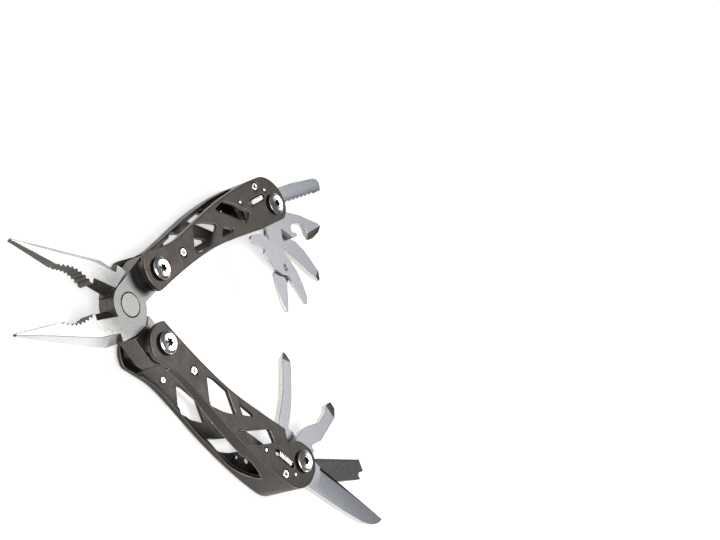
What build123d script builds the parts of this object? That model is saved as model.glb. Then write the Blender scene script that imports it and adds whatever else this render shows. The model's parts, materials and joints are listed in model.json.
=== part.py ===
from build123d import *
import math
import os

# Butterfly-plier multi tool, lying flat, in millimetres. +Z is up, and the two
# handles open towards +X. The jaws point towards -X. Each handle is drawn in its
# own axes: u runs from its head pivot to its tail pivot, and v from its spine
# towards the side that the tools swing out of. The upper handle is the lower one
# turned half a turn about the X axis.

# ---- driving dimensions ----
HANDLE_PITCH = 75.0        # head pivot to tail pivot
HANDLE_ANGLE = 29.0        # each handle's angle to the X axis, as drawn
HEAD_RADIUS = 16.8         # plier pivot to head pivot
HEAD_ANGLE = 50.0          # head pivot's angle to the X axis, as drawn
JAW_OPENING = 17.6         # each jaw's opening, as drawn

FRAME_THICK = 16.0         # across a handle's two plates
SHEET = 1.5                # the handle's folded sheet
SCREW_PROUD = 1.8          # a screw head above its plate
MID = SCREW_PROUD + FRAME_THICK / 2
PLATE_LOW = SCREW_PROUD
PLATE_HIGH = SCREW_PROUD + FRAME_THICK
CHANNEL_LOW = PLATE_LOW + SHEET
CHANNEL_HIGH = PLATE_HIGH - SHEET

JAW_HALF = 3.5             # half the pliers' thickness at the joint
TIP_HALF = 0.9             # half the jaws' thickness at the tip
BOSS_RADIUS = 7.6          # half-lap boss of the plier joint
LAP_GAP = 0.1              # clearance round and between the laps
RIVET_RADIUS = 4.15        # plier rivet's head
RIVET_SHANK = 3.0

PIN_RADIUS = 2.5           # head and tail pivot pins
RUNNING = 0.05             # running clearance, on the radius
SCREW_HEAD_RADIUS = 4.05
SPACER_RADIUS = 6.4
TANG_RADIUS = 6.0          # round end of each folding tool

TOOL_THICK = 2.45
OUTER_GAP = 0.4            # between the outer tools and the plates
INNER_GAP = 0.8            # between neighbouring tools
LAYER_PITCH = TOOL_THICK + INNER_GAP

LEAF = 0.25                # thin plates that run in the outer gaps
FACE_GAP = 0.05            # clearance between faces that slide

# Folding tools: layer, counted from the top plate, and angle as drawn, from the
# fully open position in line with the handle.
LOWER_TOOLS = {"knife_blade": (1, 3.5), "flat_driver": (2, 72.0), "cross_driver": (3, 108.8), "saw": (4, 31.0)}
UPPER_TOOLS = {"scissors": (1, 106.7), "can_opener": (2, 33.0), "small_driver": (3, 61.0),
               "serrated_blade": (4, 6.6)}
SCISSORS_RIVET = (24.3, 0.0)


# ---- helpers ----
def prism(points, low, high):
    """A straight-sided solid on a polygon, from height low to height high."""
    return Pos(0, 0, low) * extrude(make_face(Polyline(*points, close=True)), high - low)


def plate(face, low, high):
    """A flat face at z = 0 as a plate from height low to height high."""
    return Pos(0, 0, low) * extrude(face, high - low)


def disc(radius, low, high, x=0.0, y=0.0):
    """An upright round solid from height low to height high."""
    return Pos(x, y, (low + high) / 2) * Cylinder(radius, high - low)


def ring(outer, inner, low, high, x=0.0, y=0.0):
    """An upright round solid with a hole."""
    return disc(outer, low, high, x, y) - disc(inner, low - 1, high + 1, x, y)


def block(x0, x1, y0, y1, z0, z1):
    """A box between two corners."""
    return Pos((x0 + x1) / 2, (y0 + y1) / 2, (z0 + z1) / 2) * Box(x1 - x0, y1 - y0, z1 - z0)


def layer_heights(layer):
    """Bottom and top of a tool layer; layer 1 lies under the top plate."""
    high = CHANNEL_HIGH - OUTER_GAP - (layer - 1) * LAYER_PITCH
    return high - TOOL_THICK, high


def rounded(points, radii):
    """A flat face on a polygon, with the corners named by their index rounded."""
    face = make_face(Polyline(*points, close=True))
    for index, radius in radii.items():
        corner = Vector(*points[index])
        face = fillet(face.vertices().sort_by(lambda v: (Vector(v) - corner).length)[0], radius)
    return face


def both_sides(solid):
    """A solid on the top plate, and its mirror image on the bottom plate."""
    return [solid, mirror(solid, Plane.XY.offset(MID))]


# ---- places ----
def polar(radius, degrees):
    return radius * math.cos(math.radians(degrees)), radius * math.sin(math.radians(degrees))


HEAD_X, HEAD_Y = polar(HEAD_RADIUS, HEAD_ANGLE)
LOWER_PLACE = Pos(HEAD_X, -HEAD_Y, 0) * Rot(0, 0, -HANDLE_ANGLE)
TURN_OVER = Pos(0, 0, MID) * Rot(180, 0, 0) * Pos(0, 0, -MID)
UPPER_PLACE = TURN_OVER * LOWER_PLACE
TAIL = Pos(HANDLE_PITCH, 0, 0)
LOWER_JAW_PLACE = Rot(0, 0, JAW_OPENING)
UPPER_JAW_PLACE = TURN_OVER * LOWER_JAW_PLACE


# ---- handle frame ----
SPINE = [(-1.4, -7.5), (4.0, -6.7), (9.2, -6.1), (20.0, -7.2), (31.0, -9.2), (42.5, -11.0), (54.0, -12.0),
         (65.5, -12.3), (72.0, -12.0)]
INNER_EDGE = [(61.5, 5.8), (54.0, 4.9), (43.0, 3.7), (32.0, 3.0), (20.0, 3.5), (10.0, 4.5), (-4.0, 6.5)]
FLANGE_START = 5.5
WEB_START = 51.0
WEB_END = 77.0
TOP_FLANGE = [(FLANGE_START, 3.2), (9.0, 3.6), (20.0, 4.0), (35.0, 4.8), (WEB_START, 5.5)]
BOTTOM_FLANGE = 2.2
LEAF_TIP = (64.4, MID + 0.4)              # the pointed end of the spine window
LOCK_SLOT = ((60.4, 71.2), -4.6, 1.3)     # u range, v, half width
HEAD_EYELET = (14.6, -1.1)
TAIL_EYELET = (68.2, -9.4)
SPRING_RIVETS = [(56.2, -6.8), (73.1, -6.6)]
EYELET_HOLE = 1.0
SMALL_RIVET = 0.6
EYELET_SINK = 1.95
RIVET_SINK = 1.05
SINK_DEPTH = 0.4


def handle_outline():
    """The handle seen from above, as one closed face."""
    spine = Spline(*SPINE)
    tail_low = ThreePointArc(SPINE[-1], (78.9, -8.6), (82.1, -1.2))
    tail_high = ThreePointArc((82.1, -1.2), (81.5, 2.7), (79.4, 5.4))
    tail_flat = Polyline((79.4, 5.4), (77.2, 6.6), INNER_EDGE[0])
    inner = Spline(*INNER_EDGE)
    head = ThreePointArc(INNER_EDGE[-1], (-7.2, 0.2), (-4.2, -6.4))
    chin = ThreePointArc((-4.2, -6.4), (-3.0, -7.3), SPINE[0])
    return make_face(spine + tail_low + tail_high + tail_flat + inner + head + chin)


def spine_inside():
    """The channel seen from above: inside the spine, and open everywhere else."""
    offset = SHEET
    inner_line = Spline(*[(u, v + offset) for u, v in SPINE])
    start = (SPINE[0][0], SPINE[0][1] + offset)
    end = (SPINE[-1][0], SPINE[-1][1] + offset)
    arc = ThreePointArc(end, (WEB_END, -8.6), (WEB_END + 2.0, -7.2))
    around = Polyline((WEB_END + 2.0, -7.2), (95, -7.2), (95, 20), (-20, 20), (-20, start[1]), start)
    return make_face(inner_line + arc + around)


def plate_windows():
    """The cut-outs that both plates share."""
    (slot_start, slot_end), slot_v, slot_half = LOCK_SLOT
    diamond = rounded([(20.2, 1.0), (24.6, -6.6), (26.0, -8.0), (32.3, -6.4), (38.2, -3.8), (31.2, 1.9),
                       (24.0, 2.0)], {0: 1.2, 2: 1.0, 4: 0.5, 5: 1.5, 6: 1.5})
    triangle = rounded([(37.4, 1.1), (40.9, -2.0), (47.6, 1.3)], {0: 0.5, 1: 0.5, 2: 0.5})
    slanted = rounded([(40.0, -9.0), (46.5, -10.3), (52.3, -7.2), (59.2, -1.8), (54.8, 1.2), (45.0, -5.9)],
                      {0: 0.6, 1: 1.5, 3: 0.6, 4: 0.8})
    cut = plate(diamond, 0, 20) + plate(triangle, 0, 20) + plate(slanted, 0, 20)
    cut += block(slot_start + slot_half, slot_end - slot_half, slot_v - slot_half, slot_v + slot_half, 0, 20)
    cut += disc(slot_half, 0, 20, slot_start + slot_half, slot_v)
    cut += disc(slot_half, 0, 20, slot_end - slot_half, slot_v)
    for u, v in [HEAD_EYELET, TAIL_EYELET]:
        cut += disc(EYELET_HOLE, 0, 20, u, v)
    for u, v in SPRING_RIVETS:
        cut += disc(SMALL_RIVET, 0, 20, u, v)
    for u in [0, HANDLE_PITCH]:
        cut += disc(PIN_RADIUS, 0, 20, u, 0)
    return cut


def thumb_notch():
    """The notch in the top plate's inner edge that gives a nail room on the tools."""
    face = rounded([(61.6, 8.5), (62.6, 5.0), (65.6, 1.9), (68.9, 5.3), (72.5, 6.4), (73.0, 8.5)],
                   {1: 0.8, 2: 1.0, 3: 1.5})
    return plate(face, CHANNEL_HIGH - 0.5, PLATE_HIGH + 1)


def window_leaf():
    """The leaf-shaped end of the spine window, where it runs into the web."""
    start = WEB_START - 0.2
    low = (start, PLATE_LOW + BOTTOM_FLANGE)
    high = (start, PLATE_HIGH - 4.4)
    over = ThreePointArc(high, (58.5, MID + 2.9), LEAF_TIP)
    under = ThreePointArc(LEAF_TIP, (58.0, MID - 5.0), low)
    return make_face(over + under + Line(low, high))


def spine_window():
    """The window in the spine that the jaws fold in through, cut square to the handle's side."""
    low = PLATE_LOW + BOTTOM_FLANGE
    top_edge = [(u, PLATE_HIGH - depth) for u, depth in TOP_FLANGE]
    side = make_face(Polyline((FLANGE_START, low), *top_edge, (WEB_START, low), close=True))
    head = Pos((FLANGE_START - 15) / 2, MID) * Rectangle(FLANGE_START + 15 + 0.02, CHANNEL_HIGH - CHANNEL_LOW)
    cut = extrude(side + window_leaf() + head, 30)
    return Pos(0, 5, 0) * Rot(90, 0, 0) * cut


def sinks():
    """The shallow sinks round the eyelets and the small rivets, in both outer faces."""
    cut = []
    for places, radius in [([HEAD_EYELET, TAIL_EYELET], EYELET_SINK), (SPRING_RIVETS, RIVET_SINK)]:
        for u, v in places:
            cut += both_sides(disc(radius, PLATE_HIGH - SINK_DEPTH, PLATE_HIGH + 1, u, v))
    return Compound(children=cut)


def handle_frame():
    """One folded sheet: two plates, joined along the spine by a web near the tail."""
    body = plate(handle_outline(), PLATE_LOW, PLATE_HIGH)
    body -= plate(spine_inside(), CHANNEL_LOW, CHANNEL_HIGH)
    body -= spine_window()
    body -= plate_windows()
    body -= sinks()
    body -= thumb_notch()
    return body


# ---- pivots and small hardware ----
def lobed_recess(radius, depth, top):
    """A six-lobed driver recess, cut down from height top."""
    cut = disc(radius * 0.72, top - depth, top + 1)
    for k in range(6):
        x, y = polar(radius * 0.72, 60 * k)
        cut += disc(radius * 0.28, top - depth, top + 1, x, y)
    return cut


def screw_head():
    """A domed head on the top plate, with its driver recess."""
    top = PLATE_HIGH + SCREW_PROUD
    head = disc(SCREW_HEAD_RADIUS, PLATE_HIGH, top)
    head = chamfer(head.edges().filter_by(GeomType.CIRCLE).sort_by(Axis.Z)[-1], 0.55, 1.15)
    return head - lobed_recess(1.7, 1.1, top)


def pivot_screw():
    """The screw of a pivot pin: its head is on top, and its shank runs down the sleeve."""
    return screw_head() + disc(PIN_RADIUS * 0.6, CHANNEL_LOW + 4, PLATE_HIGH + 0.1)


def pivot_nut():
    """The sleeve nut of a pivot pin, with its own head under the bottom plate."""
    head = TURN_OVER * screw_head()
    sleeve = ring(PIN_RADIUS - 0.01, PIN_RADIUS * 0.6 + 0.02, PLATE_LOW - 0.1, PLATE_HIGH)
    return head + sleeve


def head_spacers():
    """The two thick discs between the tang and the plates, each with a flat against the flange."""
    gap_low = MID - JAW_HALF - FACE_GAP
    gap_high = MID + JAW_HALF + FACE_GAP
    flat = block(-10, 10, -12, -5.0, 0, 20)
    discs = []
    for low, high in [(CHANNEL_LOW, gap_low), (gap_high, CHANNEL_HIGH)]:
        discs.append(ring(SPACER_RADIUS, PIN_RADIUS, low, high) - flat)
    return Compound(children=discs)


def tool_washers():
    """The washers on the tail pivot, one in each gap."""
    washers = []
    for gap in range(5):
        if gap == 0:
            low, high = layer_heights(1)[1], CHANNEL_HIGH
        elif gap == 4:
            low, high = CHANNEL_LOW, layer_heights(4)[0]
        else:
            low, high = layer_heights(gap + 1)[1], layer_heights(gap)[0]
        washers.append(TAIL * ring(TANG_RADIUS - 1.0, PIN_RADIUS, low + FACE_GAP, high - FACE_GAP))
    return Compound(children=washers)


def eyelet(u, v):
    """A rolled eyelet in its sink in the top plate."""
    floor = PLATE_HIGH - SINK_DEPTH
    head = ring(1.5, 0.6, floor, PLATE_HIGH + 0.1, u, v)
    head = chamfer(head.edges().filter_by(GeomType.CIRCLE).group_by(Axis.Z)[-1], 0.2)
    return head + ring(EYELET_HOLE, 0.6, CHANNEL_HIGH, floor + 0.05, u, v)


def eyelets():
    return Compound(children=both_sides(eyelet(*HEAD_EYELET)) + both_sides(eyelet(*TAIL_EYELET)))


def spring_rivets():
    """The short flush rivets that hold the back spring's sides to the plates."""
    rivets = []
    for u, v in SPRING_RIVETS:
        rivets += both_sides(disc(SMALL_RIVET, CHANNEL_HIGH - LEAF, PLATE_HIGH - 0.1, u, v))
    return Compound(children=rivets)


def back_spring():
    """A folded leaf: a base along the web, a finger under each tool, and two side strips."""
    low, high = CHANNEL_LOW + 0.02, CHANNEL_HIGH - 0.02
    base = prism([(64.0, -10.7), (70.0, -10.6), (72.3, -10.1), (72.3, -9.7), (69.9, -10.1), (64.0, -10.2)],
                 low, high)
    finger = [(63.8, -10.5), (66.0, -10.4), (69.6, -9.6), (72.0, -8.6), (74.6, -6.6), (75.6, -6.6), (75.6, -6.1),
              (74.4, -6.1), (71.7, -8.1), (69.4, -9.1), (66.0, -9.9), (63.8, -10.0)]
    spring = base
    for layer in range(1, 5):
        bottom, top = layer_heights(layer)
        spring += prism(finger, bottom + 0.3, top - 0.3)
    side = rounded([(54.6, -10.1), (72.3, -10.1), (74.1, -9.3), (74.2, -5.6), (72.0, -5.6), (71.9, -9.4),
                    (57.5, -9.4), (57.2, -5.8), (55.2, -5.8)], {3: 0.9, 4: 0.9, 7: 0.9, 8: 0.9})
    for bottom in [low, high - LEAF]:
        spring += plate(side, bottom, bottom + LEAF)
    for u, v in SPRING_RIVETS:
        spring -= disc(SMALL_RIVET, 0, 20, u, v)
    return spring


def lock_bar():
    """The cross bar that blocks the back spring, and the links up to the two slide buttons."""
    low, high = CHANNEL_LOW + FACE_GAP, CHANNEL_HIGH - FACE_GAP
    bar = block(65.0, 67.2, -8.9, -7.4, low, high)
    link = rounded([(62.3, -6.2), (65.0, -8.9), (67.2, -8.9), (69.4, -6.2), (69.4, -2.9), (62.3, -2.9)],
                   {0: 0.8, 3: 0.8, 4: 0.8, 5: 0.8})
    for bottom in [low, high - LEAF]:
        bar += plate(link, bottom, bottom + LEAF)
    return bar


def lock_buttons():
    """The ribbed slide button on each plate, with its stem in the slot."""
    v = LOCK_SLOT[1]
    start, end = 62.2, 69.4
    button = block(start, end, v - 0.9, v + 0.9, CHANNEL_HIGH - FACE_GAP, PLATE_HIGH + 0.15)
    pitch = 0.8
    for k in range(9):
        u = start + 0.4 + k * pitch
        button += block(u - 0.2, u + 0.2, v - 0.9, v + 0.9, PLATE_HIGH, PLATE_HIGH + 0.55)
    return Compound(children=both_sides(button))


# ---- folding tools: each along +X from its pivot, cutting edge towards +Y ----
def tool(points, layer, radii=None, thick=TOOL_THICK):
    """A flat tool in its layer: its outline, its round tang and its pivot hole."""
    bottom, top = layer_heights(layer)
    blade = plate(rounded(points, radii or {}), bottom, bottom + thick)
    tang = disc(TANG_RADIUS, bottom, bottom + thick)
    return blade + tang - disc(PIN_RADIUS + RUNNING, 0, 20)


def grind(start, end, layer, width, land=0.3):
    """The two wedges that grind a blade's faces down to an edge from start to end, both in its plane."""
    bottom, top = layer_heights(layer)
    (x0, y0), (x1, y1) = start, end
    length = math.hypot(x1 - x0, y1 - y0)
    direction = Rot(0, 0, math.degrees(math.atan2(y1 - y0, x1 - x0)))
    depth = (TOOL_THICK - land) / 2
    corners = [(-width, 0), (0.01, depth), (3.0, depth), (3.0, -1.0), (-width, -1.0)]
    section = make_face(Polyline(*corners, close=True))
    wedge = extrude(section, length)
    lying = Plane(origin=(0, 0, 0), x_dir=(0, 1, 0), z_dir=(1, 0, 0)).location
    low = Pos(x0, y0, bottom) * direction * lying * wedge
    return low + mirror(low, Plane.XY.offset((bottom + top) / 2))


def tip_grind(x, layer, width, land=0.6):
    """The two facets that a driver's end is ground down with, across the whole tool."""
    return grind((x, 12), (x, -12), layer, width, land)


def knife_blade():
    layer = LOWER_TOOLS["knife_blade"][0]
    outline = [(0, 5.0), (9.0, 4.6), (11.2, 4.1), (42.0, 4.0), (52.6, 3.4), (49.9, 0.3), (45.9, -2.3), (40.5, -4.0),
               (28.2, -5.2), (16.1, -5.8), (8.9, -6.0), (0, -5.0)]
    blade = tool(outline, layer, {4: 0.4})
    blade -= grind((12.5, 4.1), (54.0, 3.4), layer, 8.0)
    return blade - grind((11.6, 4.1), (54.0, 3.4), layer, 1.2, 0.1)


def flat_driver():
    layer = LOWER_TOOLS["flat_driver"][0]
    outline = [(0, 5.9), (4.0, 5.9), (8.1, 4.4), (15.1, 4.0), (20.3, 2.0), (25.4, -0.9), (32.1, -0.9), (34.3, 0.6),
               (38.5, -0.9), (38.5, -4.2), (34.6, -5.9), (20.8, -5.9), (15.2, -3.4), (14.1, -4.2), (14.5, -5.6),
               (10.2, -5.7), (0, -5.9)]
    radii = {3: 1.5, 4: 2.0, 5: 1.5, 6: 0.8, 7: 0.8, 10: 1.2, 11: 1.5}
    return tool(outline, layer, radii) - tip_grind(38.6, layer, 4.6)


def cross_driver():
    layer = LOWER_TOOLS["cross_driver"][0]
    outline = [(0, 5.0), (9.0, 4.6), (16.8, 3.6), (22.6, 2.4), (27.2, 1.6), (37.2, 1.6), (40.5, 2.1), (44.3, 0.6),
               (44.0, -0.7), (41.6, -2.8), (37.0, -3.4), (25.6, -3.6), (19.9, -2.9), (14.9, -1.8), (13.7, -4.8),
               (11.5, -5.2), (8.0, -3.4), (0, -5.0)]
    return tool(outline, layer, {4: 2.0, 11: 2.0, 13: 0.6, 14: 0.8}) - tip_grind(44.5, layer, 3.6)


def saw():
    layer = LOWER_TOOLS["saw"][0]
    pitch = 1.6
    teeth = []
    for k in range(19):
        x = 49.6 - k * pitch
        teeth += [(x, 3.7), (x - 0.7, 2.5)]
    outline = [(0, 5.0), (9.0, 3.4), (17.5, 2.6)] + teeth[::-1]
    outline += [(50.7, 3.6), (52.4, -1.0), (49.5, -1.6), (48.8, -2.8), (49.9, -4.2), (34.3, -5.0), (9.0, -5.4),
                (0, -5.0)]
    return tool(outline, layer)


def can_opener():
    layer = 5 - UPPER_TOOLS["can_opener"][0]
    outline = [(0, 5.4), (9.0, 5.6), (15.1, 7.1), (17.4, 7.6), (19.6, 6.3), (19.0, 5.1), (16.5, 5.7), (15.7, 4.0),
               (16.8, 2.1), (19.4, 0.7), (23.8, 0.3), (25.0, 1.2), (26.9, 6.1), (30.8, 4.3), (34.5, 0.7),
               (35.0, -1.5), (33.6, -2.6), (21.7, -3.0), (14.1, -2.2), (8.0, -4.0), (0, -5.4)]
    radii = {6: 0.5, 7: 0.8, 8: 0.9, 11: 0.8, 13: 1.0, 15: 0.9, 16: 1.0}
    return tool(outline, layer, radii) - grind((25.6, 6.9), (36.0, 0.4), layer, 2.6)


def small_driver():
    layer = 5 - UPPER_TOOLS["small_driver"][0]
    outline = [(0, 5.0), (9.0, 4.8), (20.7, 3.6), (28.1, 2.5), (34.6, 2.1), (41.5, 1.0), (42.0, -0.6), (39.7, -2.3),
               (33.7, -3.6), (28.6, -4.5), (22.8, -4.3), (18.9, -2.5), (15.0, -2.4), (9.0, -4.6), (0, -5.0)]
    return tool(outline, layer, {3: 3.0, 9: 1.5, 10: 1.2, 11: 1.0}) - tip_grind(42.2, layer, 3.6)


def serrated_blade():
    layer = 5 - UPPER_TOOLS["serrated_blade"][0]
    scallops = []
    pitch = 3.0
    for k in range(7):
        x = 46.5 - k * pitch
        scallops += [(x, 0.5), (x - 0.5 * pitch, -0.4)]
    outline = [(0, 5.0), (9.0, 4.2), (23.0, 1.4)] + scallops[::-1]
    outline += [(52.1, 0.0), (51.8, -2.7), (50.8, -4.7), (48.3, -5.6), (32.8, -6.3), (9.0, -6.0), (0, -5.0)]
    return tool(outline, layer) - grind((22.0, 1.2), (54.0, 0.4), layer, 3.6)


# ---- scissors: two blades on a rivet, in one layer ----
def scissors_heights():
    """Bottom, middle and top of the scissors' layer; the lever side is the outer one."""
    bottom, top = layer_heights(5 - UPPER_TOOLS["scissors"][0])
    return bottom, (bottom + top) / 2, top


def scissors_body():
    """The arm from the tail pivot and the inner blade."""
    outer, middle, inner = scissors_heights()
    arm = rounded([(0, 5.6), (8.0, 4.6), (16.0, 3.4), (24.0, 3.6), (26.5, 6.6), (32.3, 6.5), (37.0, 6.0),
                   (40.9, 4.6), (41.1, 3.2), (36.5, 1.5), (30.7, -0.2), (26.0, -3.4), (20.0, -3.2), (8.0, -5.0),
                   (0, -5.6)], {7: 0.5, 8: 0.5})
    solid = plate(arm, middle + FACE_GAP, inner)
    solid += disc(TANG_RADIUS, outer, inner)
    solid -= disc(PIN_RADIUS + RUNNING, 0, 20)
    return solid - disc(1.3 + RUNNING, 0, 20, *SCISSORS_RIVET)


def scissors_lever():
    """The thumb lever and the outer blade, one piece that turns on the rivet."""
    outer, middle, inner = scissors_heights()
    shape = rounded([(11.5, 17.2), (14.3, 16.0), (16.4, 10.8), (17.0, 9.5), (18.1, 10.6), (20.5, 9.8),
                     (24.9, 6.6), (27.0, 2.6), (27.6, -0.2), (31.3, -2.0), (35.8, -4.6), (39.1, -6.7),
                     (39.2, -8.1), (36.1, -9.0), (31.3, -8.2), (26.0, -6.6), (20.6, -3.2), (16.6, 3.0),
                     (11.6, 7.6), (10.6, 10.9)], {0: 1.2, 2: 0.8, 11: 0.4, 12: 0.4, 18: 1.5, 19: 1.2})
    solid = plate(shape, outer, middle - FACE_GAP)
    return solid - disc(1.3 + RUNNING, 0, 20, *SCISSORS_RIVET)


def scissors_rivet():
    """The scissors' own pivot, flush with both faces, with two spanner holes."""
    outer, middle, inner = scissors_heights()
    x, y = SCISSORS_RIVET
    rivet = disc(1.3, outer, inner, x, y)
    for side in [-1, 1]:
        rivet -= disc(0.4, outer - 1, outer + 0.6, x + 0.65 * side, y)
    return rivet


def scissors_spring():
    """The bow spring on the arm that pushes the lever open."""
    outer, middle, inner = scissors_heights()
    strip = rounded([(9.0, 4.9), (13.2, 5.9), (18.6, 5.3), (18.6, 4.8), (13.2, 5.3), (9.4, 4.5)], {1: 1.5, 4: 1.5})
    return plate(strip, middle + 0.2, inner)


# ---- pliers ----
BEAM = [  # distance from the joint, grip side, front edge, outer side
    (-49.0, 0.0, -0.6, -1.0),
    (-45.4, 0.0, -1.4, -2.0),
    (-37.0, 0.0, -3.2, -4.7),
    (-25.7, 0.0, -5.9, -7.9),
    (-17.0, 0.0, -8.0, -10.4),
    (-12.8, 0.0, -8.1, -11.5),
    (-8.4, 0.0, -8.3, -11.2),
    (-7.8, 0.0, -8.3, -11.2),
]
TAPER_START = -8.4
GRIP_START, GRIP_END, GRIP_DEPTH, GRIP_TEETH = -30.8, -17.0, 1.9, 8
TOOTH_DEPTH = 0.9
FINE_START, FINE_TEETH = -47.5, 15
CUTTER_START, CUTTER_END, CUTTER_DEPTH = -16.4, -8.0, 2.6
CUTTER_LAND = 0.25         # half the flat of the wire cutter's edge
OVER_OPENING = 4.0         # the jaws open this much past the drawn pose
RIVET_HEAD = 0.6
RIVET_GAP = 0.2            # the groove round the rivet's head
RIVET_PROUD = 0.1


def jaw_half(x):
    """Half the jaw's thickness at a distance from the joint."""
    share = (TAPER_START - x) / (TAPER_START - BEAM[0][0])
    return JAW_HALF + (TIP_HALF - JAW_HALF) * max(0.0, share)


def jaw_beam():
    """The jaw from its tip to the joint, with broad bevels on its outer side."""
    sections = []
    for x, grip, front, outer in BEAM:
        half = jaw_half(x)
        corners = [(grip, half), (front, half), (outer, 0.0), (front, -half), (grip, -half)]
        sections.append(make_face(Polyline(*[(x, y, MID + z) for y, z in corners], close=True)))
    return loft(sections, ruled=True)


def pipe_grip():
    """The pipe grip's hollow with its coarse teeth, as the shape to cut away."""
    length = GRIP_END - GRIP_START
    points = [(GRIP_START - 0.2, 1.0), (GRIP_START - 0.2, 0.0)]
    for k in range(2 * GRIP_TEETH):
        share = (k + 0.5) / (2 * GRIP_TEETH)
        x = GRIP_START + share * length
        y = -GRIP_DEPTH * math.sin(math.pi * share)
        tilt = math.atan(-GRIP_DEPTH * math.pi / length * math.cos(math.pi * share))
        reach = TOOTH_DEPTH / 2 if k % 2 else -TOOTH_DEPTH / 2
        points.append((x - reach * math.sin(tilt), y + reach * math.cos(tilt)))
    points += [(GRIP_END + 0.2, 0.0), (GRIP_END + 0.2, 1.0)]
    return prism(points, 0, 20)


def cutter_bevels():
    """The two bevels that bring the grip side to the wire cutter's edge, as the shape to cut away."""
    section = make_face(Polyline((1.0, CUTTER_LAND), (0.0, CUTTER_LAND), (-CUTTER_DEPTH, JAW_HALF),
                                 (-CUTTER_DEPTH, JAW_HALF + 1), (1.0, JAW_HALF + 1), close=True))
    across = Plane(origin=(CUTTER_START, 0, MID), x_dir=(0, 1, 0), z_dir=(1, 0, 0)).location
    return both_sides(across * extrude(section, CUTTER_END - CUTTER_START))


def fine_teeth():
    """The fine grooves across the grip face near the tip."""
    pitch = 1.0
    grooves = [prism([(x - 0.3, 0.2), (x, -0.25), (x + 0.3, 0.2)], 0, 20)
               for x in (FINE_START + k * pitch for k in range(FINE_TEETH))]
    return grooves


def closed_head():
    """The head pivot's place on this jaw, with the jaw closed."""
    return polar(HEAD_RADIUS, HEAD_ANGLE - JAW_OPENING)


def lap_outline():
    """This jaw's half of the lap joint seen from above, closed: boss, cheek and tang root."""
    x, y = closed_head()
    cheek = make_face(Polyline((-8.4, -3.0), (-8.4, -11.2), (-1.5, -10.3), (4.4, -8.0), (6.4, -4.6), (0, 0),
                               close=True))
    root = make_face(Polyline((-3.5, 6.8), (x - 2.9, y + 5.7), (x + 3.0, y - 5.6), (7.4, -0.4), (1.0, -2.0),
                              close=True))
    return Circle(BOSS_RADIUS) + cheek + root


def other_lap_sweep():
    """The space that the other jaw's half of the lap sweeps as the jaws open and close."""
    other = mirror(lap_outline(), Plane.XZ)
    swept = Circle(BOSS_RADIUS + LAP_GAP)
    steps = 12
    for k in range(steps + 1):
        angle = 1.0 - (2 * JAW_OPENING + OVER_OPENING + 1.0) * k / steps
        swept += Rot(0, 0, angle) * other
    return offset(swept, LAP_GAP)


def jaw():
    """The lower jaw, closed. Its half of the lap joint is the upper one."""
    lap = MID + LAP_GAP / 2
    high, low = MID + JAW_HALF, MID - JAW_HALF
    x, y = closed_head()
    body = jaw_beam() + plate(lap_outline(), lap, high)
    body += plate(lap_outline(), low, lap) - plate(other_lap_sweep(), low - 1, lap)
    body -= cutter_bevels()
    body -= pipe_grip()
    body -= fine_teeth()
    body -= plate(other_lap_sweep() - Pos(-20, -8) * Rectangle(24, 16), low - 1, lap)
    body += disc(SPACER_RADIUS, low, high, x, y)
    body -= disc(RIVET_SHANK + RUNNING, 0, 20)
    body -= disc(RIVET_RADIUS + RIVET_GAP, high - RIVET_HEAD, high + 1)
    return body - disc(PIN_RADIUS + RUNNING, 0, 20, x, y)


def plier_rivet():
    """The flush rivet of the plier joint, headed on both sides."""
    top, bottom = MID + JAW_HALF, MID - JAW_HALF
    head = disc(RIVET_RADIUS, top - RIVET_HEAD + FACE_GAP, top + RIVET_PROUD)
    head = chamfer(head.edges().filter_by(GeomType.CIRCLE).sort_by(Axis.Z)[-1], 0.15)
    return head + TURN_OVER * head + disc(RIVET_SHANK, bottom, top)


# ---- assembly ----
def lower_tool(name, solid):
    return LOWER_PLACE * TAIL * Rot(0, 0, LOWER_TOOLS[name][1]) * solid


def upper_tool(name, solid):
    return UPPER_PLACE * TAIL * Rot(0, 0, UPPER_TOOLS[name][1]) * solid


def assemble():
    """Every node in its place, with the plier pivot at the origin."""
    parts = {
        "lower_jaw": LOWER_JAW_PLACE * jaw(),
        "upper_jaw": UPPER_JAW_PLACE * jaw(),
        "plier_rivet": plier_rivet(),
    }
    shared = {
        "frame": handle_frame(),
        "head_screw": pivot_screw(),
        "head_nut": pivot_nut(),
        "tail_screw": TAIL * pivot_screw(),
        "tail_nut": TAIL * pivot_nut(),
        "head_spacers": head_spacers(),
        "tool_washers": tool_washers(),
        "eyelets": eyelets(),
        "spring_rivets": spring_rivets(),
        "back_spring": back_spring(),
        "lock_bar": lock_bar(),
        "lock_buttons": lock_buttons(),
    }
    for name, solid in shared.items():
        parts["lower_" + name] = LOWER_PLACE * solid
        parts["upper_" + name] = UPPER_PLACE * solid
    for name, make in [("knife_blade", knife_blade), ("flat_driver", flat_driver), ("cross_driver", cross_driver),
                       ("saw", saw)]:
        parts[name] = lower_tool(name, make())
    for name, make in [("can_opener", can_opener), ("small_driver", small_driver),
                       ("serrated_blade", serrated_blade)]:
        parts[name] = upper_tool(name, make())
    for name, make in [("scissors_body", scissors_body), ("scissors_lever", scissors_lever),
                       ("scissors_rivet", scissors_rivet), ("scissors_spring", scissors_spring)]:
        parts[name] = upper_tool("scissors", make())
    return parts


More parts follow.
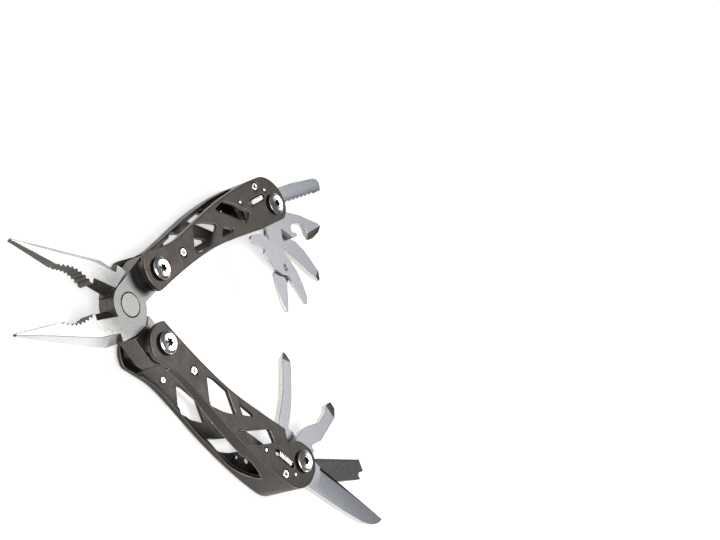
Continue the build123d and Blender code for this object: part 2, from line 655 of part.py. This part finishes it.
def write(parts):
    """One STEP file for each node, with the origin under the middle of the whole tool."""
    boxes = [solid.bounding_box() for solid in parts.values()]
    low = [min(getattr(box.min, axis) for box in boxes) for axis in "XYZ"]
    high = [max(getattr(box.max, axis) for box in boxes) for axis in "XYZ"]
    centre = Vector((low[0] + high[0]) / 2, (low[1] + high[1]) / 2, 0)
    shift = Pos(-centre.X, -centre.Y, 0)
    os.makedirs("parts", exist_ok=True)
    for name, solid in parts.items():
        export_step(shift * solid, f"parts/{name}.step")
    print("plier pivot at", -centre.X, -centre.Y)
    print("from", low, "to", high)


write(assemble())
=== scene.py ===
import bmesh
import bpy
import json
import math
from mathutils import Matrix, Vector


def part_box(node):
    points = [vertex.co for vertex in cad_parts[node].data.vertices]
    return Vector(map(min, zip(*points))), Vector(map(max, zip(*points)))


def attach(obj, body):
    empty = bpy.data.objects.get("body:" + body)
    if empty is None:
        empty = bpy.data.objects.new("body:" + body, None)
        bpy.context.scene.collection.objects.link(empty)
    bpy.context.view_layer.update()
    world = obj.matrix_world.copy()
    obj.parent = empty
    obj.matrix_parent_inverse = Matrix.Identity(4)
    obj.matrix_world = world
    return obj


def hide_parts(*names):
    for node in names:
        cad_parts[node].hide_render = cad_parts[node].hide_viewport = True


# A butterfly-plier multi tool lying on a pale floor. Each CAD node is replaced by a mesh made from it, with
# its own finish: the handles keep their shape, the screws are turned anew, and the rest have softened
# corners. Lengths are in metres, in the row frame.

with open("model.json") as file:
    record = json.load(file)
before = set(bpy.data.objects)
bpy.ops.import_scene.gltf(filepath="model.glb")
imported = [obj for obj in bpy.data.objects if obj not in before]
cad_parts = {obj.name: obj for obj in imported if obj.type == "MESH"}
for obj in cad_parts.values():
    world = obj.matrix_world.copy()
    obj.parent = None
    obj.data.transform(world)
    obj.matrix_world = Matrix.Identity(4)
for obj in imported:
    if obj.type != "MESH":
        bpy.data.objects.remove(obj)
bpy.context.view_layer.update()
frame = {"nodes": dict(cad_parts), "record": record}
MM = 0.001
NODE_BODY = {node: body for body, nodes in frame["record"]["behaviour"]["bodies"].items() for node in nodes}
NODE_SLOT = {part["node"]: part["material_slot"] for part in frame["record"]["subparts"]}


def middle(node):
    """The middle of a node's box."""
    low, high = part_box(node)
    return (Vector(low) + Vector(high)) / 2


PLIER_PIVOT = middle("plier_rivet")


# ---- material helpers ----
FIRST_COLOR, SECOND_COLOR, MIXED_COLOR = 6, 7, 2      # a mix node's colour sockets, which share their names
FULL_WEAR_AND_HIGHLIGHT, NO_WEAR_AND_HIGHLIGHT = 0.85, 0.99                       # how far a rounded normal agrees with the plain one
CORNER = 0.8 * MM                                     # how far the handles' corners are rounded in their shading, and lightened by wear and a painted highlight


class Shader:
    """A procedural material under construction: its nodes, and short ways to add to them."""

    def __init__(self, name, color, metallic, roughness):
        self.material = bpy.data.materials.new(name)
        self.material.use_nodes = True
        self.tree = self.material.node_tree
        self.surface = self.tree.nodes["Principled BSDF"]
        self.surface.inputs["Base Color"].default_value = (*color, 1.0)
        self.surface.inputs["Metallic"].default_value = metallic
        self.surface.inputs["Roughness"].default_value = roughness
        self.place = self.add("ShaderNodeTexCoord").outputs["Object"]

    def add(self, kind, **settings):
        node = self.tree.nodes.new(kind)
        for key, value in settings.items():
            setattr(node, key, value)
        return node

    def link(self, output, socket):
        self.tree.links.new(output, socket)

    def noise(self, scale, detail=3.0, stretch=(1, 1, 1), roughness=0.5):
        """Noise with a given number of features per metre, stretched along the axes."""
        mapping = self.add("ShaderNodeMapping")
        mapping.inputs["Scale"].default_value = stretch
        self.link(self.place, mapping.inputs["Vector"])
        texture = self.add("ShaderNodeTexNoise")
        texture.inputs["Scale"].default_value = scale
        texture.inputs["Detail"].default_value = detail
        texture.inputs["Roughness"].default_value = roughness
        self.link(mapping.outputs["Vector"], texture.inputs["Vector"])
        return texture.outputs["Fac"]

    def ramp(self, value, stops):
        """A colour ramp through (position, colour) stops."""
        node = self.add("ShaderNodeValToRGB")
        elements = node.color_ramp.elements
        while len(elements) < len(stops):
            elements.new(0.5)
        for element, (position, color) in zip(elements, stops):
            element.position = position
            element.color = (*color, 1.0)
        self.link(value, node.inputs["Fac"])
        return node.outputs["Color"]

    def range(self, value, low, high, start=0.3, end=0.7):
        """A value spread from start..end to low..high."""
        node = self.add("ShaderNodeMapRange")
        node.inputs["From Min"].default_value = start
        node.inputs["From Max"].default_value = end
        node.inputs["To Min"].default_value = low
        node.inputs["To Max"].default_value = high
        self.link(value, node.inputs["Value"])
        return node.outputs["Result"]

    def roughness(self, value, low, high):
        self.link(self.range(value, low, high), self.surface.inputs["Roughness"])

    def color(self, value, dark, light):
        self.link(self.ramp(value, [(0.3, dark), (0.7, light)]), self.surface.inputs["Base Color"])

    def blend_colors(self, share, first):
        """The surface's colour: the first one where share is 0, and a second one where it is 1."""
        mix = self.add("ShaderNodeMix", data_type="RGBA")
        self.link(share, mix.inputs["Factor"])
        self.link(first, mix.inputs[FIRST_COLOR])
        self.link(mix.outputs[MIXED_COLOR], self.surface.inputs["Base Color"])
        return mix

    def rounded(self, radius):
        """The surface's normal, rounded over its corners."""
        node = self.add("ShaderNodeBevel", samples=8)
        node.inputs["Radius"].default_value = radius
        return node.outputs["Normal"]

    def wear_and_highlight(self, coat, bare_and_lit, radius):
        """The coat's colour, with a lighter colour where the surface turns a corner: partly bare worn
        metal, partly a painted highlight.
        """
        turn = self.add("ShaderNodeVectorMath", operation="DOT_PRODUCT")
        self.link(self.rounded(radius), turn.inputs[0])
        self.link(self.add("ShaderNodeNewGeometry").outputs["Normal"], turn.inputs[1])
        share = self.range(turn.outputs["Value"], 1.0, 0.0, FULL_WEAR_AND_HIGHLIGHT, NO_WEAR_AND_HIGHLIGHT)
        mix = self.blend_colors(share, coat)
        mix.inputs[SECOND_COLOR].default_value = (*bare_and_lit, 1.0)

    def bump(self, value, depth, corner=None):
        """Relief of a given depth in metres, over corners rounded by a given radius."""
        node = self.add("ShaderNodeBump")
        if corner:
            self.link(self.rounded(corner), node.inputs["Normal"])
        node.inputs["Distance"].default_value = depth
        node.inputs["Strength"].default_value = 1.0
        self.link(value, node.inputs["Height"])
        self.link(node.outputs["Normal"], self.surface.inputs["Normal"])


def handle_finish():
    """Dark brown coated steel with a fine grain, lighter along its corners: partly worn bare, partly a
    painted highlight.
    """
    shader = Shader("handle_finish", (0.08, 0.07, 0.062), 0.8, 0.4)
    grain = shader.noise(900, 5, roughness=0.7)
    coat = shader.ramp(grain, [(0.3, (0.038, 0.033, 0.029)), (0.7, (0.062, 0.054, 0.048))])
    # The lighter corner colour is partly wear and partly a painted highlight along the edges.
    shader.wear_and_highlight(coat, (0.36, 0.32, 0.285), CORNER)
    shader.roughness(shader.noise(260, 3), 0.34, 0.46)
    shader.bump(shader.noise(9000, 2), 0.000012, CORNER)
    return shader.material


GREY_REACH = 11 * MM           # from the plier pivot, all grey to here
BRIGHT_REACH = 23 * MM         # and all bright from here


def jaw_steel():
    """Bead-blasted steel, grey round the joint and brighter along the jaws: partly a blasted joint and
    ground jaws, partly painted light that falls off towards the joint.
    """
    shader = Shader("jaw_steel", (0.6, 0.59, 0.57), 1.0, 0.42)
    speckle = shader.noise(3600, 4, roughness=0.8)
    grey = shader.ramp(speckle, [(0.35, (0.13, 0.128, 0.124)), (0.65, (0.31, 0.307, 0.3))])
    bright = shader.ramp(speckle, [(0.3, (0.52, 0.517, 0.507)), (0.7, (0.68, 0.677, 0.665))])
    # Grey near the pivot and bright further out: partly a change of finish, partly painted light falloff.
    distance = shader.add("ShaderNodeVectorMath", operation="DISTANCE")
    shader.link(shader.place, distance.inputs[0])
    distance.inputs[1].default_value = PLIER_PIVOT
    share = shader.range(distance.outputs["Value"], 0.0, 1.0, GREY_REACH, BRIGHT_REACH)
    shader.link(bright, shader.blend_colors(share, grey).inputs[SECOND_COLOR])
    shader.roughness(shader.noise(1800, 3), 0.36, 0.5)
    shader.bump(speckle, 0.00003)
    return shader.material


def grip_steel_and_wall_shade():
    """The jaws' dark walls: a machined finish on grips, teeth and cutters, and painted shade on the walls
    at the joint.
    """
    shader = Shader("grip_steel_and_wall_shade", (0.12, 0.11, 0.1), 0.9, 0.45)
    shader.color(shader.noise(2600, 4), (0.07, 0.064, 0.057), (0.15, 0.139, 0.127))
    shader.bump(shader.noise(3400, 3, stretch=(1, 1, 6)), 0.00002)
    return shader.material


def ground_steel():
    """The dark ground facets at the ends of the drivers and the opener."""
    shader = Shader("ground_steel", (0.1, 0.09, 0.078), 0.9, 0.5)
    shader.color(shader.noise(2600, 4), (0.06, 0.054, 0.047), (0.14, 0.127, 0.11))
    shader.bump(shader.noise(3400, 3), 0.00002)
    return shader.material


def chrome_screw():
    """Turned and polished steel, so that its highlights fan out from the middle."""
    shader = Shader("chrome_screw", (0.82, 0.82, 0.84), 1.0, 0.22)
    shader.surface.inputs["Anisotropic"].default_value = 0.75
    tangent = shader.add("ShaderNodeTangent", direction_type="RADIAL", axis="Z")
    shader.link(tangent.outputs["Tangent"], shader.surface.inputs["Tangent"])
    shader.roughness(shader.noise(900, 3), 0.17, 0.27)
    return shader.material


def dark_recess():
    """The screws' sides and driver recesses and the handles' sinks, dark with oil and shadow."""
    shader = Shader("dark_recess", (0.02, 0.019, 0.018), 0.6, 0.4)
    shader.roughness(shader.noise(900, 3), 0.3, 0.5)
    return shader.material


def rivet_steel():
    """The plier and scissors rivets, speckled grey like the boss round the plier rivet."""
    shader = Shader("rivet_steel", (0.4, 0.39, 0.38), 1.0, 0.4)
    shader.color(shader.noise(3600, 4, roughness=0.8), (0.13, 0.128, 0.124), (0.31, 0.307, 0.3))
    shader.bump(shader.noise(3600, 3), 0.00003)
    return shader.material


def bright_trim():
    """Bright plated steel: eyelets, small rivets and lock buttons."""
    shader = Shader("bright_trim", (0.86, 0.86, 0.85), 1.0, 0.24)
    shader.roughness(shader.noise(1200, 3), 0.18, 0.3)
    return shader.material


def dark_washer():
    """Spacers and washers inside the handles."""
    shader = Shader("dark_washer", (0.06, 0.058, 0.055), 0.9, 0.4)
    shader.roughness(shader.noise(900, 3), 0.3, 0.5)
    return shader.material


def dark_spring():
    """Black spring steel: back springs and lock bars."""
    shader = Shader("dark_spring", (0.025, 0.025, 0.025), 0.8, 0.4)
    shader.roughness(shader.noise(900, 3), 0.3, 0.5)
    return shader.material


def tool_steel():
    """Stainless steel with a fine satin face, slightly blue."""
    shader = Shader("tool_steel", (0.29, 0.29, 0.315), 1.0, 0.4)
    shader.color(shader.noise(2600, 5, roughness=0.7), (0.22, 0.22, 0.24), (0.36, 0.36, 0.385))
    shader.roughness(shader.noise(1200, 3), 0.34, 0.46)
    shader.bump(shader.noise(6000, 2), 0.000012)
    return shader.material


def blade_steel():
    """The blades' steel, a little smoother and cooler than the other tools."""
    shader = Shader("blade_steel", (0.28, 0.29, 0.32), 1.0, 0.36)
    shader.color(shader.noise(2200, 5, roughness=0.7), (0.22, 0.225, 0.25), (0.34, 0.35, 0.385))
    shader.roughness(shader.noise(1200, 3), 0.3, 0.42)
    shader.bump(shader.noise(6000, 2), 0.00001)
    return shader.material


def light_edge():
    """The tools' bright cut edges."""
    shader = Shader("light_edge", (0.62, 0.61, 0.58), 1.0, 0.4)
    shader.color(shader.noise(1500, 4), (0.5, 0.49, 0.46), (0.72, 0.71, 0.68))
    return shader.material


def saw_steel():
    """The saw's dark steel, mottled by its coat."""
    shader = Shader("saw_steel", (0.06, 0.06, 0.06), 0.8, 0.45)
    shader.color(shader.noise(1500, 5, roughness=0.8), (0.03, 0.03, 0.03), (0.12, 0.12, 0.12))
    shader.bump(shader.noise(4200, 3), 0.00002)
    return shader.material


def floor_paper():
    """White studio paper with a painted glow of its own, so that its shadows stay pale."""
    shader = Shader("floor_paper", (0.93, 0.93, 0.925), 0.0, 0.8)
    shader.surface.inputs["Emission Color"].default_value = (1, 1, 1, 1)
    shader.surface.inputs["Emission Strength"].default_value = 0.55
    shader.bump(shader.noise(400, 2), 0.00001)
    return shader.material


MATERIALS = {make.__name__: make() for make in [
    handle_finish, jaw_steel, grip_steel_and_wall_shade, ground_steel, chrome_screw, dark_recess, rivet_steel,
    bright_trim, dark_washer, dark_spring, tool_steel, blade_steel, light_edge, saw_steel]}


# ---- finer meshes from the CAD nodes ----
MERGE = 0.002 * MM             # vertices closer than this are one
FLAT_ANGLE = math.radians(1.0)
EDGE_ANGLE = math.radians(32)
SMOOTH_ANGLE = math.radians(24)
BEVELS = {"tool_steel": 0.12 * MM, "blade_steel": 0.08 * MM, "saw_steel": 0.06 * MM,
          "bright_trim": 0.06 * MM, "rivet_steel": 0.06 * MM, "dark_washer": 0.1 * MM,
          "dark_spring": 0.05 * MM}
STEEP = 0.35                   # a face whose normal rises less than this is a wall
LEVEL = 0.999                  # and one whose normal rises more than this is flat and level


def cad_copy(node, join_flat=True):
    """The node's mesh as a bmesh, with its coplanar triangles joined unless join_flat is off."""
    bm = bmesh.new()
    bm.from_mesh(frame["nodes"][node].data)
    bmesh.ops.remove_doubles(bm, verts=bm.verts, dist=MERGE)
    if join_flat:
        bmesh.ops.dissolve_limit(bm, angle_limit=FLAT_ANGLE, verts=bm.verts, edges=bm.edges)
    for layers in (bm.loops.layers.float_vector, bm.loops.layers.float):
        for layer in list(layers.values()):
            layers.remove(layer)
    bm.normal_update()
    return bm


def make_object(name, bm, materials, place=(0, 0, 0)):
    """An object in the scene made from a bmesh, smooth between its sharp corners."""
    mesh = bpy.data.meshes.new(name + "_mesh")
    bm.to_mesh(mesh)
    bm.free()
    piece = bpy.data.objects.new(name, mesh)
    piece.location = place
    bpy.context.scene.collection.objects.link(piece)
    for material in materials:
        mesh.materials.append(MATERIALS[material])
    for key in [attribute.name for attribute in mesh.attributes]:
        if "normal" in key or key in ("sharp_edge", "sharp_face"):
            mesh.attributes.remove(mesh.attributes[key])
    mesh.shade_smooth()
    mesh.set_sharp_from_angle(angle=SMOOTH_ANGLE)
    return piece


def soften(piece, width, segments=2):
    """A bevel along the piece's corners, with its faces kept flat between them."""
    modifier = piece.modifiers.new("soft_edges", "BEVEL")
    modifier.width = width
    modifier.segments = segments
    modifier.limit_method = "ANGLE"
    modifier.angle_limit = EDGE_ANGLE
    modifier.use_clamp_overlap = False
    normals = piece.modifiers.new("flat_faces", "WEIGHTED_NORMAL")
    normals.keep_sharp = True


def stand_for(piece, node):
    """The piece takes the node's place and body."""
    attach(piece, NODE_BODY[node])
    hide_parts(node)


def plain_piece(node):
    """A node in its CAD shape, with its corners softened."""
    slot = NODE_SLOT[node]
    piece = make_object(node + "_fine", cad_copy(node), [slot])
    soften(piece, BEVELS[slot])
    stand_for(piece, node)


# ---- handles ----
# Places on a handle are (along it from its head screw, across it away from its spine).
SINKS = [(14.6 * MM, -1.1 * MM), (68.2 * MM, -9.4 * MM), (56.2 * MM, -6.8 * MM), (73.1 * MM, -6.6 * MM)]
SINK_REACH = 2.0 * MM
SLOT_LOW, SLOT_HIGH = (60 * MM, -6.1 * MM), (71.6 * MM, -3.1 * MM)
PLATE_SKIN = 0.02 * MM         # a face nearer than this to the handle's top or bottom lies on it


def handle_axes(side):
    """A handle's own axes: along it from head to tail, and across it away from its spine."""
    head = middle(side + "_head_screw")
    tail = middle(side + "_tail_screw")
    along = Vector((tail.x - head.x, tail.y - head.y, 0)).normalized()
    across = Vector((-along.y, along.x, 0)) if side == "lower" else Vector((along.y, -along.x, 0))
    return head, along, across


def in_sink(along, across, face):
    """Whether a face belongs to an eyelet's or a rivet's sink, or to the wall of the lock's slot."""
    sunk = any((Vector((along, across)) - Vector(sink)).length < SINK_REACH for sink in SINKS)
    in_slot = SLOT_LOW[0] < along < SLOT_HIGH[0] and SLOT_LOW[1] < across < SLOT_HIGH[1]
    return sunk or (in_slot and abs(face.normal.z) < STEEP)


def handle_frame(side):
    """A handle as the CAD made it, with flat plates and dark sinks."""
    node = side + "_frame"
    head, along, across = handle_axes(side)
    low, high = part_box(node)
    bm = cad_copy(node, join_flat=False)
    for face in bm.faces:
        center = face.calc_center_median()
        offset = center - head
        on_plate = min(center.z - low[2], high[2] - center.z) < PLATE_SKIN
        dark = not on_plate and in_sink(offset.dot(along), offset.dot(across), face)
        face.material_index = 1 if dark else 0
    piece = make_object(node + "_fine", bm, [NODE_SLOT[node], "dark_recess"])
    for polygon in piece.data.polygons:
        polygon.use_smooth = abs(polygon.normal.z) < LEVEL
    stand_for(piece, node)


# ---- screws ----
SCREW_SIDES = 96
LOBES = 6
HEAD_RADIUS = 4.05 * MM
HEAD_HEIGHT = 1.8 * MM
SHANK_RADIUS = 1.5 * MM
SLEEVE_RADIUS = 2.49 * MM
RECESS_DEPTH = 1.0 * MM
# The head, from the floor of its recess over its rounded rim to its underside: radius, height from the top,
# lobe depth and material.
CHROME, DARK = 0, 1
HEAD_PROFILE = [
    (0, -RECESS_DEPTH, 0, DARK),
    (1.05 * MM, -RECESS_DEPTH, 0.22 * MM, DARK),
    (1.25 * MM, -0.25 * MM, 0.26 * MM, DARK),
    (1.4 * MM, -0.16 * MM, 0.26 * MM, CHROME),
    (1.9 * MM, -0.12 * MM, 0, CHROME),
    (2.75 * MM, -0.02 * MM, 0, CHROME),
    (2.95 * MM, 0.0, 0, CHROME),
    (3.1 * MM, -0.06 * MM, 0, CHROME),
    (3.85 * MM, -0.55 * MM, 0, CHROME),
    (4.0 * MM, -0.68 * MM, 0, CHROME),
    (HEAD_RADIUS, -0.82 * MM, 0, CHROME),
    (HEAD_RADIUS, -HEAD_HEIGHT, 0, DARK),
]


def spun(bm, profile):
    """Rings through (radius, height, lobe depth, material) points; a radius of zero is one point."""
    rings = []
    for radius, height, lobe, material in profile:
        if radius == 0:
            rings.append([bm.verts.new((0, 0, height))])
            continue
        ring = []
        for k in range(SCREW_SIDES):
            turn = 2 * math.pi * k / SCREW_SIDES
            reach = radius + lobe * math.cos(LOBES * turn)
            ring.append(bm.verts.new((reach * math.cos(turn), reach * math.sin(turn), height)))
        rings.append(ring)
    for (first, second), point in zip(zip(rings, rings[1:]), profile[1:]):
        for k in range(SCREW_SIDES):
            nxt = (k + 1) % SCREW_SIDES
            if len(first) == 1:
                corners = [first[0], second[k], second[nxt]]
            elif len(second) == 1:
                corners = [first[nxt], first[k], second[0]]
            else:
                corners = [first[nxt], first[k], second[k], second[nxt]]
            bm.faces.new(corners).material_index = point[3]


def screw(node, is_nut, faces_down):
    """A pivot screw, or the sleeve nut that faces the other way, with a lobed recess and a bright rim."""
    low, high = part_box(node)
    length = high[2] - low[2]
    if is_nut:
        stem = [(SLEEVE_RADIUS, -HEAD_HEIGHT), (SLEEVE_RADIUS, -length), (SHANK_RADIUS, -length),
                (SHANK_RADIUS, -HEAD_HEIGHT), (0, -HEAD_HEIGHT)]
    else:
        stem = [(SHANK_RADIUS, -HEAD_HEIGHT), (SHANK_RADIUS, -length), (0, -length)]
    profile = HEAD_PROFILE + [(radius, height, 0, DARK) for radius, height in stem]
    bm = bmesh.new()
    spun(bm, profile)
    if faces_down:
        bmesh.ops.transform(bm, matrix=Matrix.Rotation(math.pi, 4, "X"), verts=bm.verts)
    bmesh.ops.recalc_face_normals(bm, faces=bm.faces)
    top = Vector((middle(node).x, middle(node).y, low[2] if faces_down else high[2]))
    stand_for(make_object(node + "_fine", bm, ["chrome_screw", "dark_recess"], top), node)


# ---- jaws ----
JAW_BEVEL = 0.14 * MM
BEAM_START = 8 * MM            # along a jaw from the plier pivot
OUTER_TURN = 0.3               # how far an outer bevel faces away from the other jaw
CUTTER_TURN = 0.25             # and how far a cutter's bevel faces towards it


def jaw(node):
    """A jaw, with bright faces and bevels, and dark walls on its grip side and at its joint: a machined
    finish on the grips, painted shade on the joint's walls.
    """
    bm = cad_copy(node)
    tip = min((vertex.co for vertex in bm.verts), key=lambda point: point.x)
    along = (tip - PLIER_PIVOT).normalized()
    if node == "lower_jaw":
        outward = Vector((-along.y, along.x, 0))
    else:
        outward = Vector((along.y, -along.x, 0))
    for face in bm.faces:
        normal = face.normal
        on_beam = (face.calc_center_median() - PLIER_PIVOT).dot(along) > BEAM_START
        outer_bevel = on_beam and normal.dot(outward) > OUTER_TURN
        cutter = on_beam and normal.dot(outward) < -CUTTER_TURN
        # Walls and cutter faces take the dark steel: machined grips and cutters, and painted shade on the
        # joint's walls.
        face.material_index = 1 if (abs(normal.z) < STEEP and not outer_bevel) or cutter else 0
    piece = make_object(node + "_fine", bm, ["jaw_steel", "grip_steel_and_wall_shade"])
    soften(piece, JAW_BEVEL)
    stand_for(piece, node)


# ---- folding tools ----
# How far each tool's dark ground facets reach back from its end.
TOOL_FACETS = {"flat_driver": 8.5 * MM, "cross_driver": 6.5 * MM, "small_driver": 6.5 * MM,
               "can_opener": 12 * MM}


def folding_tool(node, pivot):
    """A folding tool with light cut edges, and dark ground facets at its end."""
    slot = NODE_SLOT[node]
    bm = cad_copy(node)
    reach = max((vertex.co.xy - pivot.xy).length for vertex in bm.verts)
    for face in bm.faces:
        rise = abs(face.normal.z)
        distance = (face.calc_center_median().xy - pivot.xy).length
        if rise < STEEP:
            face.material_index = 1
        elif rise < LEVEL and node in TOOL_FACETS and distance > reach - TOOL_FACETS[node]:
            face.material_index = 2
    piece = make_object(node + "_fine", bm, [slot, "light_edge", "ground_steel"])
    soften(piece, BEVELS[slot], segments=1)
    stand_for(piece, node)


# ---- every node in turn ----
SCREWS = ["head_screw", "head_nut", "tail_screw", "tail_nut"]
TOOLS = {"lower": ["knife_blade", "flat_driver", "cross_driver"],
         "upper": ["can_opener", "small_driver", "serrated_blade", "scissors_body", "scissors_lever"]}

done = []
for side in ["lower", "upper"]:
    handle_frame(side)
    jaw(side + "_jaw")
    for name in SCREWS:
        is_nut = name.endswith("nut")
        screw(f"{side}_{name}", is_nut, faces_down=is_nut == (side == "lower"))
    for node in TOOLS[side]:
        folding_tool(node, middle(side + "_tail_screw"))
    done += [side + "_frame", side + "_jaw"] + [f"{side}_{name}" for name in SCREWS] + TOOLS[side]
for node in frame["nodes"]:
    if node not in done:
        plain_piece(node)


# ---- floor, lights and camera ----
FLOOR_REACH = 3.0
BACKDROP_STRENGTH = 0.1


def add_floor():
    bm = bmesh.new()
    bmesh.ops.create_grid(bm, x_segments=1, y_segments=1, size=FLOOR_REACH)
    mesh = bpy.data.meshes.new("floor")
    bm.to_mesh(mesh)
    bm.free()
    floor = bpy.data.objects.new("floor", mesh)
    mesh.materials.append(floor_paper())
    bpy.context.scene.collection.objects.link(floor)


LIT_POINT = Vector((0, 0, 0.01))


def add_softbox(name, position, size, power):
    """A square white area light that faces the middle of the tool."""
    data = bpy.data.lights.new(name, "AREA")
    data.shape = "SQUARE"
    data.size = size
    data.energy = power
    light = bpy.data.objects.new(name, data)
    light.location = position
    direction = LIT_POINT - Vector(position)
    light.rotation_euler = direction.to_track_quat("-Z", "Y").to_euler()
    bpy.context.scene.collection.objects.link(light)


def add_world(strength):
    world = bpy.data.worlds.new("studio")
    bpy.context.scene.world = world
    world.use_nodes = True
    world.node_tree.nodes["Background"].inputs["Color"].default_value = (1, 1, 1, 1)
    world.node_tree.nodes["Background"].inputs["Strength"].default_value = strength


CAMERA_PLACE = (-0.3649, -0.1279, 0.3294)
CAMERA_ANGLES = (25.609, -52.755, -11.733)             # degrees
CAMERA_LENS = 70.62                                    # millimetres


def add_camera():
    data = bpy.data.cameras.new("camera")
    data.lens = CAMERA_LENS
    data.clip_start = 0.01
    camera = bpy.data.objects.new("camera", data)
    camera.location = CAMERA_PLACE
    camera.rotation_euler = [math.radians(angle) for angle in CAMERA_ANGLES]
    bpy.context.scene.collection.objects.link(camera)
    bpy.context.scene.camera = camera


add_floor()
add_softbox("key", (-0.35, -0.3, 0.65), 0.4, 2.6)
add_softbox("back", (0.49, 0.17, 0.67), 0.4, 3.0)
add_softbox("side", (0.45, -0.5, 0.08), 0.4, 1.4)
add_softbox("left", (-0.6, 0.25, 0.3), 0.35, 1.0)
add_world(BACKDROP_STRENGTH)
add_camera()
bpy.context.scene.view_settings.view_transform = "Standard"
